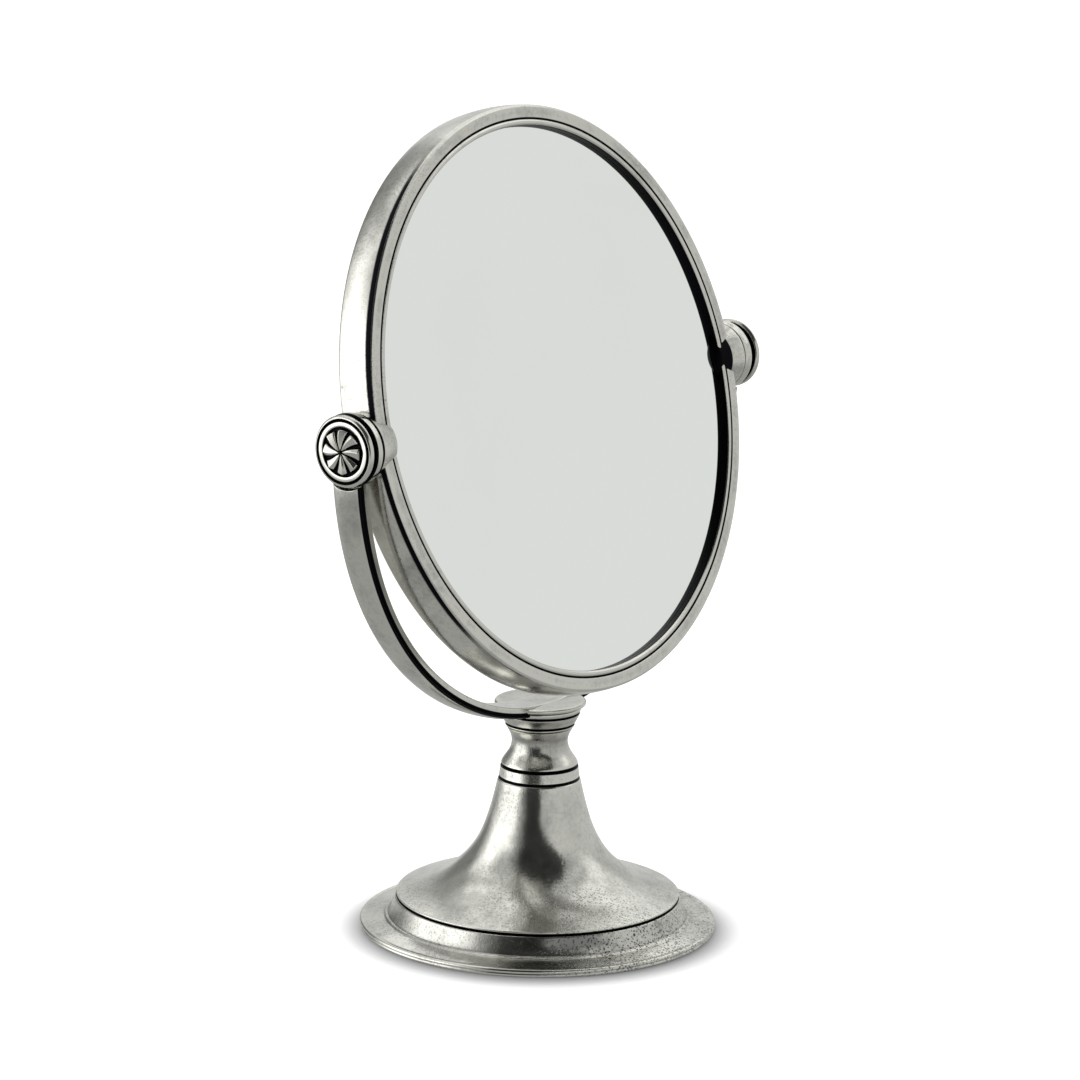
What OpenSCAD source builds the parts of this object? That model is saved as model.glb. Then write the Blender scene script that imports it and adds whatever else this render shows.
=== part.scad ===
// Table shaving mirror: a round glass in a turned metal frame, hung between two clamp knobs
// in a half-round yoke that stands on a weighted pedestal foot.
// Origin: bottom centre of the foot. +Z is up, the pivot axis runs along X, the glass faces -Y.

/* [Foot] */
// Radius of the foot's outer rim
foot_r = 66.5; // [66:0.5:72]
// Radius of the raised tier that the bell stands on
tier_r = 52.9; // [52.5:0.1:54]
// Height of the seam between the base flange and the bell
seam_z = 11.5; // [10:0.5:13]
// Height of the bell's top face
bell_top_z = 57.2; // [52:0.2:60]
// Wall thickness of the bell casting
bell_wall = 2.6; // [2:0.1:3.2]

/* [Neck] */
// Radius of the neck at its waist
waist_r = 10.5; // [9:0.1:12]
// Height of the face between neck and collar
collar_z = 76.5; // [75:0.5:78]
// Largest radius of the collar's turned rings
collar_r = 15.3; // [15:0.1:16.5]
// Radius of the round pad under the mirror
pad_r = 17.1; // [16:0.1:19]

/* [Yoke] */
// Height of the pivot axis above the table
pivot_z = 199.6; // [199:0.1:201]
// Inner radius of the half-round band
yoke_in_r = 113; // [112.5:0.1:113.5]
// Radial thickness of the band
yoke_t = 5; // [4:0.2:6]
// Front-to-back width of the band
yoke_w = 12; // [10:0.5:14]
// Radius of the round eye at each end
eye_r = 13.3; // [13:0.1:15]

/* [Mirror head] */
// Tilt of the mirror at rest in degrees, with the face looking up
tilt = 14.8; // [0:0.2:30]
// Radius of the visible glass
glass_open_r = 100.1; // [99:0.1:100.4]
// Outer radius of the frame
frame_r = 108.5; // [107:0.1:109]
// How far the frame's face stands ahead of the pivot axis
face_y = 9; // [8.5:0.1:9.5]
// How far the frame's back edge stands behind the pivot axis
back_y = 6.5; // [6:0.1:7]
// Thickness of the glass
glass_t = 3; // [2.5:0.1:3.5]
// Number of screws that hold the rear cover
cover_screws = 6; // [4:1:8]

/* [Knobs] */
// Radius of the clamp knobs
knob_r = 13; // [12.5:0.1:13.2]
// Thickness of the clamp knobs
knob_t = 2.5; // [2.4:0.1:3.4]
// How far the right knob stands unscrewed from its closed place
right_slack = 3; // [0:0.1:3.2]
// Radius of the pivot screws
screw_r = 3; // [2.5:0.1:3.2]
// Petals on each knob's rosette
petals = 8; // [5:1:10]

/* [Hidden] */
$fn = 160;

fit = 0.05;         // radial clearance of a running fit
slack = 0.3;        // radial clearance of a loose hole
face_gap = 0.1;     // gap between faces that slide on each other

// foot
felt_r = 58;
felt_t = 1.2;
plate_t = 0.8;
plate_top = felt_t + plate_t;
flange_in_r = 51;
rod_r = 4;
rod_hole_r = rod_r + slack;
ballast_r = 50;
ballast_step_r = 33;
ballast_top = 14.5;
nut_seat_z = 9;
nut_seat_r = 12;
washer_t = 1.2;
nut_h = 5;
nut_corner_r = 7.5;
bell_web_z = bell_top_z - 6;

// neck and collar
waist_z = 70.8;
collar_top = 84.7;
groove_d = 0.5;
seam_d = 0.9;

// yoke
yoke_out_r = yoke_in_r + yoke_t;
pad_top = pivot_z - yoke_in_r;
rod_top = pad_top - 1;

// stations along the pivot axis, measured outwards from the middle plane
boss_tip = 97.5;
boss_end = 110.9;
washer_end = boss_end + 0.5;
eye_in = washer_end + face_gap;
eye_t = 3.5;
eye_out = eye_in + eye_t;
spring_start = eye_out + face_gap;
knob_start = spring_start + 0.6;
knob_face = knob_start + knob_t;
rosette_start = knob_face - 0.9;
screw_tip = 103.2;
bush_r = 4.6;
boss_r = 12.6;
left_boss_tip_r = 10.4;
right_boss_tip_r = 9.7;

// mirror head, measured forwards from the pivot axis
frame_wall = 3.1;
frame_in_r = frame_r - frame_wall;
lip_y = face_y - 2.8;
glass_back = lip_y - glass_t;
felt_back = glass_back - 1;
board_back = felt_back - 2;
glass_r = 101.5;
cover_r = frame_in_r - 0.2;
cover_t = 1.8;
cover_back = -back_y - 0.3;
cover_front = cover_back + cover_t;
press_ring_r = 98.6;
press_ring_wall = 2;
lug_r = 2.5;
lug_at = frame_in_r - lug_r + 0.4;
lug_hole_r = 1.25;
cover_screw_head_r = 2.3;

LEFT = -1;
RIGHT = 1;

// ---------- helpers ----------

// points of an arc about a centre, from angle a0 to a1
function arc(centre, r, a0, a1, steps = 8) =
    [for (i = [0:steps]) let (a = a0 + (a1 - a0) * i / steps) centre + r * [cos(a), sin(a)]];

// points of a cubic Bezier curve
function bezier(p, steps = 24) = [
    for (i = [0:steps])
        let (t = i / steps, s = 1 - t)
        s * s * s * p[0] + 3 * s * s * t * p[1] + 3 * s * t * t * p[2] + t * t * t * p[3]
];

// a ring or disc along Z
module ring(r, inner_r, z0, z1) {
    translate([0, 0, z0]) difference() {
        cylinder(r = r, h = z1 - z0);
        translate([0, 0, -1]) cylinder(r = inner_r, h = z1 - z0 + 2);
    }
}

// puts a part whose own Z points outwards onto the pivot axis, on one side
module on_pivot(side) {
    translate([0, 0, pivot_z]) rotate([0, 90 * side, 0]) children();
}

// the same for a knob set, moved out with the right knob where it stands unscrewed
module on_knob(side) {
    on_pivot(side) translate([0, 0, side == RIGHT ? right_slack : 0]) children();
}

// puts a part whose own Z points out of the glass onto the tilted mirror head
module on_head() {
    translate([0, 0, pivot_z]) rotate([90 - tilt, 0, 0]) children();
}

// ---------- foot ----------

module base_felt() {
    color("darkolivegreen") cylinder(r = felt_r, h = felt_t);
}

module base_plate() {
    color("dimgray") translate([0, 0, felt_t]) cylinder(r = felt_r, h = plate_t);
}

// flat rim, small bead and the hollow wall that rises to the seam
module base_flange() {
    rim = arc([foot_r - 1, 1], 1, -90, 90, 8);
    wall_r = tier_r + 0.4;
    wall = bezier([[foot_r - 10.6, 4.4], [wall_r + 1.2, 5.5], [wall_r, 8.2], [wall_r, seam_z - 0.6]], 10);
    color("silver") rotate_extrude() polygon(concat(
        [[felt_r + 0.2, 0]],
        rim,
        [[foot_r - 2.2, 2.5], [foot_r - 9.4, 3.8], [foot_r - 10, 4.4]],
        wall,
        [[tier_r - seam_d, seam_z], [flange_in_r, seam_z]],
        [[flange_in_r + 0.2, 8], [flange_in_r + 1.5, 4.6], [flange_in_r + 4, plate_top]],
        [[felt_r + 0.2, plate_top]]
    ));
}

function bell_curve(shift_r, foot_z) = bezier([
    [15.4 - shift_r, bell_top_z],
    [19.4 - shift_r, 38.5],
    [22.9 - shift_r, foot_z + 7.2],
    [tier_r - shift_r, foot_z]
]);

// trumpet-shaped hollow casting with a low vertical edge where it meets the flange
module foot_bell() {
    inner_foot_z = seam_z + 0.2;
    color("silver") difference() {
        rotate_extrude() polygon(concat(
            [[0, bell_top_z]],
            bell_curve(0, seam_z + 1.1),
            [[tier_r, seam_z + 0.5], [tier_r - seam_d, seam_z], [0, seam_z]]
        ));
        intersection() {
            rotate_extrude() polygon(concat(
                [[0, bell_top_z]],
                bell_curve(bell_wall, inner_foot_z - 1),
                [[0, inner_foot_z - 1]]
            ));
            cylinder(r = flange_in_r - 0.6, h = bell_web_z);
        }
        cylinder(r = rod_hole_r, h = bell_top_z + 1);
    }
}

module ballast_weight() {
    color("darkslategray") difference() {
        union() {
            translate([0, 0, plate_top]) cylinder(r = ballast_r, h = seam_z - 0.5 - plate_top);
            translate([0, 0, plate_top]) cylinder(r = ballast_step_r, h = ballast_top - plate_top);
        }
        translate([0, 0, plate_top - 1]) cylinder(r = nut_seat_r, h = nut_seat_z - plate_top + 1);
        cylinder(r = rod_hole_r, h = ballast_top + 1);
    }
}

module tie_rod() {
    rod_start = nut_seat_z - washer_t - nut_h - 0.4;
    color("gray") translate([0, 0, rod_start]) cylinder(r = rod_r, h = rod_top - rod_start);
}

module tie_washer() {
    color("gray") ring(9, rod_hole_r, nut_seat_z - washer_t, nut_seat_z);
}

module tie_nut() {
    nut_z = nut_seat_z - washer_t - nut_h;
    color("gray") translate([0, 0, nut_z]) difference() {
        cylinder(r = nut_corner_r, h = nut_h, $fn = 6);
        translate([0, 0, -1]) cylinder(r = rod_r + fit, h = nut_h + 2);
    }
}

// ---------- neck ----------

// turned spool: a grooved band at the bottom, then a narrow waist
module neck() {
    band_top = 61.9;
    lower = bezier([[14.3, band_top + 1], [13.2, 65.4], [waist_r + 0.2, 67], [waist_r, waist_z]], 10);
    upper = bezier([[waist_r, waist_z], [waist_r, 73.4], [11.3, 74.3], [12.3, collar_z - 0.3]], 8);
    color("silver") difference() {
        rotate_extrude() polygon(concat(
            [[0, bell_top_z], [15.4 - groove_d, bell_top_z], [15, bell_top_z + 0.5]],
            [[14.5, band_top - 0.6], [14.3 - groove_d, band_top], [14.4, band_top + 0.6]],
            lower,
            upper,
            [[12.3 - groove_d, collar_z], [0, collar_z]]
        ));
        translate([0, 0, bell_top_z - 1]) cylinder(r = rod_hole_r, h = collar_z - bell_top_z + 2);
    }
}

// three stacked turned rings, notched on top for the yoke
module neck_collar() {
    color("silver") difference() {
        rotate_extrude() polygon([
            [0, collar_z], [12.2 - groove_d, collar_z], [12.9, collar_z + 0.5],
            [13, 77.6], [12.9 - groove_d, 78], [13.3, 78.4],
            [14.2, 80.2], [14.9, 81.9], [14.7 - groove_d, 82.3], [15.1, 82.7],
            [collar_r, collar_top - 0.4], [collar_r - groove_d, collar_top], [0, collar_top]
        ]);
        translate([0, 0, collar_z - 1]) cylinder(r = rod_hole_r, h = collar_top - collar_z + 2);
        yoke_band();
    }
}

// ---------- yoke ----------

// half-round band: a flat inner face, a groove along each side and a crowned outer face
module yoke_band() {
    h = yoke_w / 2;
    crown = 1.4;
    groove_at = yoke_in_r + 1.6;
    side_r = yoke_out_r - crown;
    outer = [for (i = [-8:8]) [side_r + crown * sqrt(1 - pow(i / 8, 2)) , h * i / 8]];
    translate([0, 0, pivot_z]) rotate([90, 180, 0]) rotate_extrude(angle = 180) polygon(concat(
        [[yoke_in_r, -h + 0.3], [yoke_in_r + 0.3, -h], [groove_at - 0.3, -h]],
        [[groove_at, -h + groove_d], [groove_at + 0.3, -h]],
        outer,
        [[groove_at + 0.3, h], [groove_at, h - groove_d], [groove_at - 0.3, h]],
        [[yoke_in_r + 0.3, h], [yoke_in_r, h - 0.3]]
    ));
}

module eye(side) {
    on_pivot(side) rotate_extrude() polygon(concat(
        [[0, eye_in], [eye_r - 0.7, eye_in]],
        [for (i = [0:8]) [eye_r - 0.7 * pow(i / 4 - 1, 4), eye_in + (eye_out - eye_in) * i / 8]],
        [[0, eye_out]]
    ));
}

module yoke() {
    color("silver") difference() {
        union() {
            yoke_band();
            eye(LEFT);
            eye(RIGHT);
        }
        for (side = [LEFT, RIGHT]) on_pivot(side) {
            translate([0, 0, eye_in - 2]) cylinder(r = bush_r, h = yoke_t + 6);
            translate([0, 0, eye_out]) cylinder(r = eye_r + 0.4, h = yoke_t);
        }
        cylinder(r = rod_r + fit, h = rod_top + 0.2);
    }
}

// round pad that the band lies in, flush with the band's inner face
module yoke_pad() {
    edge = 0.5;
    color("silver") difference() {
        translate([0, 0, collar_top]) union() {
            cylinder(r1 = pad_r - edge, r2 = pad_r, h = edge);
            translate([0, 0, edge]) cylinder(r = pad_r, h = pad_top - collar_top - 2 * edge);
            translate([0, 0, pad_top - collar_top - edge]) cylinder(r1 = pad_r, r2 = pad_r - edge, h = edge);
        }
        yoke_band();
        cylinder(r = rod_hole_r, h = rod_top + 0.2);
    }
}

module eye_bush(side) {
    color("goldenrod") on_pivot(side) ring(bush_r, screw_r + fit, eye_in, eye_out);
}

// ---------- mirror head ----------

// frame section as [radius, forwards]: a beaded lip over the glass, a flat face, a crowned wall
function frame_outline() = let (
    inner = glass_open_r,
    bead = arc([inner + 1.2, face_y - 1], 1.2, 180, 40, 8),
    groove_at = inner + 2.5,
    mid_y = (face_y - back_y) / 2,
    half = (face_y + back_y) / 2 - 1.1,
    wall = [for (i = [0:10]) let (t = 1 - i / 5) [frame_r - 0.6 * t * t, mid_y - 0.3 + half * t]]
) concat(
    [[inner, lip_y]],
    bead,
    [[groove_at, face_y - 0.7], [groove_at + 0.4, face_y - 0.1], [groove_at + 1, face_y]],
    arc([frame_r - 1.9, face_y - 1.3], 1.3, 90, 0),
    wall,
    [[frame_r - 1.1, -back_y], [frame_in_r, -back_y], [frame_in_r, lip_y]]
);

module frame_ring() {
    rotate_extrude() polygon(frame_outline());
}

module mirror_frame() {
    color("silver") on_head() difference() {
        union() {
            frame_ring();
            cover_pattern() translate([0, 0, cover_front]) cylinder(r = lug_r, h = -cover_front);
        }
        cover_pattern() translate([0, 0, cover_front - 1]) cylinder(r = lug_hole_r + fit, h = 4.6);
        for (side = [LEFT, RIGHT]) rotate([0, 90 * side, 0])
            translate([0, 0, frame_in_r - 2]) cylinder(r = screw_r + fit, h = frame_wall + 4);
    }
}

// places something at each of the rear cover's screws
module cover_pattern() {
    for (i = [0:cover_screws - 1]) rotate([0, 0, 360 * (i + 0.5) / cover_screws])
        translate([lug_at, 0, 0]) children();
}

module mirror_glass() {
    color("lightcyan") on_head() translate([0, 0, glass_back]) cylinder(r = glass_r, h = glass_t);
}

module backing_felt() {
    color("black") on_head() translate([0, 0, felt_back]) cylinder(r = glass_r, h = glass_back - felt_back);
}

module backing_board() {
    color("peru") on_head() translate([0, 0, board_back]) cylinder(r = glass_r, h = felt_back - board_back);
}

// shallow spun dish with a low step, and an inner ring that presses on the board
module rear_cover() {
    step_r = 86;
    dish = 1.6;
    color("silver") on_head() difference() {
        union() {
            rotate_extrude() polygon([
                [0, cover_front - dish], [step_r - 4, cover_front - dish], [step_r, cover_front],
                [press_ring_r - press_ring_wall, cover_front], [press_ring_r - press_ring_wall, board_back],
                [press_ring_r, board_back], [press_ring_r, cover_front], [cover_r, cover_front],
                [cover_r, cover_back + 0.5], [cover_r - 0.5, cover_back], [step_r, cover_back],
                [step_r - 4, cover_back - dish], [0, cover_back - dish]
            ]);
        }
        cover_pattern() translate([0, 0, cover_back - 1]) cylinder(r = lug_hole_r + slack, h = cover_t + 2);
    }
}

module rear_cover_screws() {
    head_h = 1;
    color("gold") on_head() cover_pattern() difference() {
        union() {
            translate([0, 0, cover_back - head_h]) cylinder(r = cover_screw_head_r, h = head_h);
            translate([0, 0, cover_back]) cylinder(r = lug_hole_r, h = cover_t + 3);
        }
        translate([-3, -0.3, cover_back - head_h - 1]) cube([6, 0.6, 1.5]);
    }
}

// barrel on the frame's side: it laps over the face and takes the pivot screw's thread
module boss(side) {
    steps = 8;
    dome = 3.2;
    tip_r = side == LEFT ? left_boss_tip_r : right_boss_tip_r;
    color("silver") on_head() difference() {
        rotate([0, 90 * side, 0]) rotate_extrude() polygon(concat(
            [[0, boss_tip]],
            [for (i = [1:steps]) let (a = 90 * i / steps)
                [tip_r * sin(a), boss_tip + dome * (1 - cos(a))]],
            [[boss_r, boss_end - 0.6], [boss_r - 0.5, boss_end], [0, boss_end]]
        ));
        frame_ring();
        translate([0, 0, -2 * boss_r]) cylinder(r = frame_in_r + 0.5, h = 2 * boss_r + lip_y + face_gap);
        translate([0, 0, -2 * boss_r]) cylinder(r = frame_r, h = 2 * boss_r - back_y);
        rotate([0, 90 * side, 0]) translate([0, 0, boss_tip]) cylinder(r = screw_r + fit, h = boss_end);
    }
}

module friction_washer(side) {
    color("saddlebrown") on_pivot(side) ring(9, screw_r + slack, boss_end, washer_end);
}

// ---------- knobs ----------

// round clamp knob: an edge that slopes in to a ring groove, and a recess for its rosette
module knob(side) {
    groove_r = 11.2;
    recess_r = 8.8;
    low = knob_start + 0.7;
    edge = bezier([[knob_r, low], [knob_r, low + 0.9], [12.6, knob_face - 0.2], [11.8, knob_face]], 8);
    color("silver") on_knob(side) rotate_extrude() polygon(concat(
        [[screw_r, knob_start], [knob_r - 0.6, knob_start]],
        edge,
        [[groove_r + 0.35, knob_face], [groove_r, knob_face - 0.7], [groove_r - 0.35, knob_face]],
        [[recess_r + 0.7, knob_face + 0.2], [recess_r + 0.1, knob_face], [recess_r, knob_face - 0.3]],
        [[recess_r, rosette_start], [screw_r, rosette_start]]
    ));
}

// low domed flower with a groove between its petals
module rosette(side) {
    dome_r = 22;
    rosette_r = 8.7;
    rise = 1.8;
    color("slategray") on_knob(side) difference() {
        intersection() {
            translate([0, 0, rosette_start]) cylinder(r = rosette_r, h = 2 * rise);
            translate([0, 0, rosette_start + 0.9 + rise - dome_r]) sphere(r = dome_r);
        }
        for (i = [0:petals - 1]) rotate([0, 0, 360 * i / petals])
            translate([1, -0.35, rosette_start + 0.9]) cube([rosette_r, 0.7, 2 * rise]);
    }
}

module pivot_screw(side) {
    length = rosette_start - screw_tip;
    color("gray") on_knob(side) translate([0, 0, screw_tip]) cylinder(r = screw_r, h = length);
}

// coned washer: it is pressed flat under the left knob, and stands open under the right one
module spring_washer(side) {
    sheet = 0.5;
    bore_r = screw_r + slack;
    knob_z = knob_start + (side == RIGHT ? right_slack : 0);
    color("dimgray") on_pivot(side) rotate_extrude() polygon([
        [bore_r, knob_z - sheet], [8, spring_start], [8, spring_start + sheet], [bore_r, knob_z]
    ]);
}

base_felt();
base_plate();
base_flange();
foot_bell();
ballast_weight();
tie_rod();
tie_washer();
tie_nut();
neck();
neck_collar();
yoke();
yoke_pad();
eye_bush(LEFT);  // left_eye_bush
eye_bush(RIGHT);  // right_eye_bush
mirror_frame();
mirror_glass();
backing_felt();
backing_board();
rear_cover();
rear_cover_screws();
boss(LEFT);  // left_boss
boss(RIGHT);  // right_boss
friction_washer(LEFT);  // left_friction_washer
friction_washer(RIGHT);  // right_friction_washer
knob(LEFT);  // left_knob
knob(RIGHT);  // right_knob
rosette(LEFT);  // left_rosette
rosette(RIGHT);  // right_rosette
pivot_screw(LEFT);  // left_pivot_screw
pivot_screw(RIGHT);  // right_pivot_screw
spring_washer(LEFT);  // left_spring_washer
spring_washer(RIGHT);  // right_spring_washer
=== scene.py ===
"""Looks of a table shaving mirror in hand-finished pewter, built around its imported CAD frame.

Every visible metal piece is a surface worked out with numpy: an outline turned round an axis, a
section carried along the yoke's arc, or a relief on a round disc. Sizes are in millimetres, as in
the CAD, and become metres where a surface is placed. Finishes are procedural materials.
"""

import logging
import math
from collections.abc import Callable, Sequence
from dataclasses import dataclass, field
from enum import Enum

import bpy
import numpy as np
from mathutils import Matrix, Vector


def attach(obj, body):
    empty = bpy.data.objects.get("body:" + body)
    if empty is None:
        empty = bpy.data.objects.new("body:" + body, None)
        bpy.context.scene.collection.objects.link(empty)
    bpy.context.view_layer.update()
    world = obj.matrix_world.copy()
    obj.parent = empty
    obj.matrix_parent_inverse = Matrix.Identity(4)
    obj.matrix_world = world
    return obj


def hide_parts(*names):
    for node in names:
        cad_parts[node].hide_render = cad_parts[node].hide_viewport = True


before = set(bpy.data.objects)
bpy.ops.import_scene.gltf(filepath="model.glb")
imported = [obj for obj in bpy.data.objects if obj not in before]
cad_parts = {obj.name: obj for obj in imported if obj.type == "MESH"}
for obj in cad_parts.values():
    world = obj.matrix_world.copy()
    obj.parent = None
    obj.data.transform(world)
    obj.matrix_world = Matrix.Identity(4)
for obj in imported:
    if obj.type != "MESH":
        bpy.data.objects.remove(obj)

log = logging.getLogger("shaving_mirror")

MM = 0.001
Array = np.ndarray
Colour = tuple[float, float, float]


class Side(Enum):
    """The two ends of the pivot axis."""

    LEFT = -1
    RIGHT = 1

    @property
    def word(self) -> str:
        """The side's name as the CAD nodes spell it."""
        return self.name.lower()


class Body(Enum):
    """The CAD bodies that pieces ride on."""

    STAND = "stand"
    MIRROR = "mirror"
    LEFT_KNOB = "left_knob_set"
    RIGHT_KNOB = "right_knob_set"

    @classmethod
    def knob(cls, side: Side) -> "Body":
        """The body of one side's knob."""
        return cls.LEFT_KNOB if side is Side.LEFT else cls.RIGHT_KNOB


# Shader graphs


@dataclass(frozen=True)
class Wire:
    """An output socket of a shader graph, with Python's operators as Math nodes."""

    graph: "Graph"
    socket: bpy.types.NodeSocket

    def _math(self, operation: str, *values: "Wire | float") -> "Wire":
        """Adds one Math node over the values."""
        return self.graph.add("ShaderNodeMath", {"operation": operation}, dict(enumerate(values)))

    def __add__(self, other: "Wire | float") -> "Wire":
        """This value plus another."""
        return self._math("ADD", self, other)

    def __sub__(self, other: "Wire | float") -> "Wire":
        """This value less another."""
        return self._math("SUBTRACT", self, other)

    def __rsub__(self, other: float) -> "Wire":
        """A number less this value."""
        return self._math("SUBTRACT", other, self)

    def __mul__(self, other: "Wire | float") -> "Wire":
        """This value times another."""
        return self._math("MULTIPLY", self, other)

    __radd__ = __add__
    __rmul__ = __mul__

    def over(self, other: "Wire | float") -> "Wire":
        """The larger of this value and another."""
        return self._math("MAXIMUM", self, other)

    def bearing(self, other: "Wire") -> "Wire":
        """Angle in radians whose sine goes with this value and whose cosine goes with the other."""
        return self._math("ARCTAN2", self, other)

    def capped(self) -> "Wire":
        """This value held between 0 and 1."""
        return self._math("MINIMUM", self.over(0.0), 1.0)

    def ramp(self, low: float, high: float) -> "Wire":
        """A smooth step from 0 at low to 1 at high; low may be the larger of the two.

        Args:
            low: The value that becomes 0.
            high: The value that becomes 1.

        Returns:
            The stepped value.
        """
        ends = {"From Min": low, "From Max": high} if low < high else {"From Min": high, "From Max": low}
        step = self.graph.add(
            "ShaderNodeMapRange", {"interpolation_type": "SMOOTHSTEP"}, {"Value": self, **ends}
        )
        return step if low < high else 1 - step


class Graph:
    """Builds the nodes of one material or world."""

    def __init__(self, tree: bpy.types.NodeTree) -> None:
        """Empties the tree and starts from nothing."""
        self.tree = tree
        tree.nodes.clear()

    def add(self, kind: str, settings: dict | None = None, inputs: dict | None = None,
            out: str | int = 0) -> Wire:
        """Adds a node.

        Args:
            kind: The node's type, such as ShaderNodeMath.
            settings: Its own properties, which are set first.
            inputs: Values or wires by input name or number.
            out: The output that the result stands for.

        Returns:
            The chosen output as a wire.
        """
        node = self.tree.nodes.new(kind)
        for name, value in (settings or {}).items():
            setattr(node, name, value)
        for name, value in (inputs or {}).items():
            if isinstance(value, Wire):
                self.tree.links.new(value.socket, node.inputs[name])
            else:
                node.inputs[name].default_value = value
        return Wire(self, node.outputs[out])

    def blend(self, factor: Wire | float, first: "Wire | Colour", second: "Wire | Colour") -> Wire:
        """Mixes two colours.

        Args:
            factor: 0 for the first, 1 for the second.
            first: A colour or a wire.
            second: A colour or a wire.

        Returns:
            The mixed colour.
        """
        first, second = (c if isinstance(c, Wire) else (*c, 1.0) for c in (first, second))
        return self.add("ShaderNodeMix", {"data_type": "RGBA"}, {0: factor, 6: first, 7: second}, out=2)

    def dot(self, vector: Wire, direction: Sequence[float]) -> Wire:
        """How far a vector reaches along a direction: their dot product."""
        inputs = {0: vector, 1: tuple(direction)}
        return self.add("ShaderNodeVectorMath", {"operation": "DOT_PRODUCT"}, inputs, out="Value")

    def stretch(self, vector: Wire, factors: Sequence[float], offset: Sequence[float] = (0, 0, 0)) -> Wire:
        """A vector multiplied and shifted along each of its axes."""
        inputs = {0: vector, 1: factors, 2: offset}
        return self.add("ShaderNodeVectorMath", {"operation": "MULTIPLY_ADD"}, inputs)

    def noise(self, vector: Wire, scale: float, detail: float = 2.0, rough: float = 0.5) -> Wire:
        """Fractal noise between 0 and 1."""
        inputs = {"Vector": vector, "Scale": scale, "Detail": detail, "Roughness": rough}
        return self.add("ShaderNodeTexNoise", {}, inputs)

    def cells(self, vector: Wire, scale: float, out: str = "Distance") -> Wire:
        """Distance to the nearest of randomly strewn points, or that point's own random colour."""
        return self.add("ShaderNodeTexVoronoi", {}, {"Vector": vector, "Scale": scale}, out=out)

    def dots(self, vector: Wire, scale: float, size: tuple[float, float], kept: tuple[float, float]) -> Wire:
        """Dots at randomly strewn points.

        Args:
            vector: The places.
            scale: How closely the points lie.
            size: Distances from a point at which its dot begins and is full.
            kept: Random values between which a point's dot fades in, so that only some have one.

        Returns:
            1 in the dots and 0 between them.
        """
        return self.cells(vector, scale).ramp(*size) * self.cells(vector, scale, "Color").ramp(*kept)

    def places(self) -> Wire:
        """Object coordinates, in metres."""
        return self.add("ShaderNodeTexCoord", out="Object")

    def attribute(self, name: str, out: str = "Fac") -> Wire:
        """An attribute that the piece's own mesh carries."""
        return self.add("ShaderNodeAttribute", {"attribute_name": name}, out=out)

    def bump(self, height: Wire, depth: float, under: Wire | None = None) -> Wire:
        """Turns a height into a normal.

        Args:
            height: The height, whose 1 stands for the depth.
            depth: The height's reach, in metres.
            under: Another normal that this one goes on top of.

        Returns:
            The normal.
        """
        inputs = {"Height": height, "Strength": 1.0, "Distance": depth}
        if under is not None:
            inputs["Normal"] = under
        return self.add("ShaderNodeBump", {}, inputs)

    def surface(self, **inputs: "Wire | float | tuple") -> None:
        """Ends the graph in a Principled surface; underscores in the names stand for spaces."""
        named = {key.replace("_", " "): value for key, value in inputs.items()}
        self.finish(self.add("ShaderNodeBsdfPrincipled", {}, named))

    def finish(self, shader: Wire) -> None:
        """Joins a shader to the tree's output node.

        Args:
            shader: The surface or background.
        """
        is_world = isinstance(self.tree.id_data, bpy.types.World)
        output = self.tree.nodes.new("ShaderNodeOutputWorld" if is_world else "ShaderNodeOutputMaterial")
        self.tree.links.new(shader.socket, output.inputs["Surface"])


def new_material(name: str) -> tuple[bpy.types.Material, Graph]:
    """Makes an empty node material.

    Args:
        name: The material's name.

    Returns:
        The material and its graph.
    """
    material = bpy.data.materials.new(name)
    material.use_nodes = True
    return material, Graph(material.node_tree)


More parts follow.
